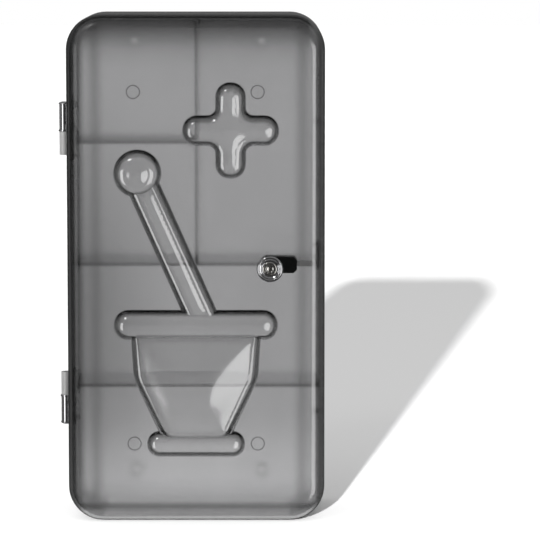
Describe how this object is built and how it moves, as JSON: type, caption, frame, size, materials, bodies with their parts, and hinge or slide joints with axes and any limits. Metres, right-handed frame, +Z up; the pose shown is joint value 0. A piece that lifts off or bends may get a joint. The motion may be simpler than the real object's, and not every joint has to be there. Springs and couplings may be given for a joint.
{
  "type": "medicine cabinet",
  "caption": "Wall cabinet moulded in translucent grey plastic, with a hinged locking door that carries a domed relief, inner shelves and an upright divider.",
  "frame": {"origin": "centre of the flat back face, on the wall", "axes": "+X to the right as seen from the room, +Y into the wall, +Z up"},
  "size_m": [0.2445, 0.1376, 0.466],
  "materials": {
    "smoke_plastic": "satin translucent, relief polished",
    "chromed_steel": "polished",
    "satin_steel": "satin",
    "zinc_steel": "zinc plated",
    "lock_brass": "nickel plated",
    "black_zamak": "satin black"
  },
  "bodies": {
    "cabinet": {"cabinet_shell": "smoke_plastic", "centre_divider": "smoke_plastic", "upper_shelf": "smoke_plastic", "middle_shelf": "smoke_plastic", "lower_shelf": "smoke_plastic", "strike_plate": "zinc_steel", "strike_screws": "zinc_steel", "strike_nuts": "zinc_steel", "upper_hinge_body_leaf": "chromed_steel", "lower_hinge_body_leaf": "chromed_steel", "upper_hinge_pin": "chromed_steel", "lower_hinge_pin": "chromed_steel", "upper_hinge_washer": "zinc_steel", "lower_hinge_washer": "zinc_steel", "body_hinge_screws": "zinc_steel", "body_hinge_nuts": "zinc_steel"},
    "door": {"door_shell": "smoke_plastic", "upper_hinge_door_leaf": "satin_steel", "lower_hinge_door_leaf": "satin_steel", "door_hinge_screws": "zinc_steel", "door_hinge_nuts": "zinc_steel", "lock_barrel": "chromed_steel", "lock_nut": "zinc_steel", "bolt_guide": "black_zamak", "bolt_cover": "black_zamak", "guide_screws": "zinc_steel"},
    "lock_plug": {"lock_plug": "lock_brass", "plug_crank": "lock_brass"},
    "lock_bolt": {"lock_bolt": "zinc_steel"}
  },
  "joints": [
    {"name": "door_swing", "type": "hinge", "parent": "cabinet", "child": "door", "pos_m": [-0.121, -0.0903, 0], "axis": [0, 0, -1], "range_deg": [0, 180]},
    {"name": "bolt_throw", "type": "slide", "parent": "door", "child": "lock_bolt", "axis": [1, 0, 0], "range_m": [0, 0.008]},
    {"name": "lock_turn", "type": "hinge", "parent": "door", "child": "lock_plug", "pos_m": [0.0678, -0.1246, 0.0016], "axis": [0, 1, 0], "range_deg": [0, 90]}
  ],
  "couplings": [
    {"joint": "lock_turn", "follows": "bolt_throw", "rad_per_m": 196.35}
  ]
}
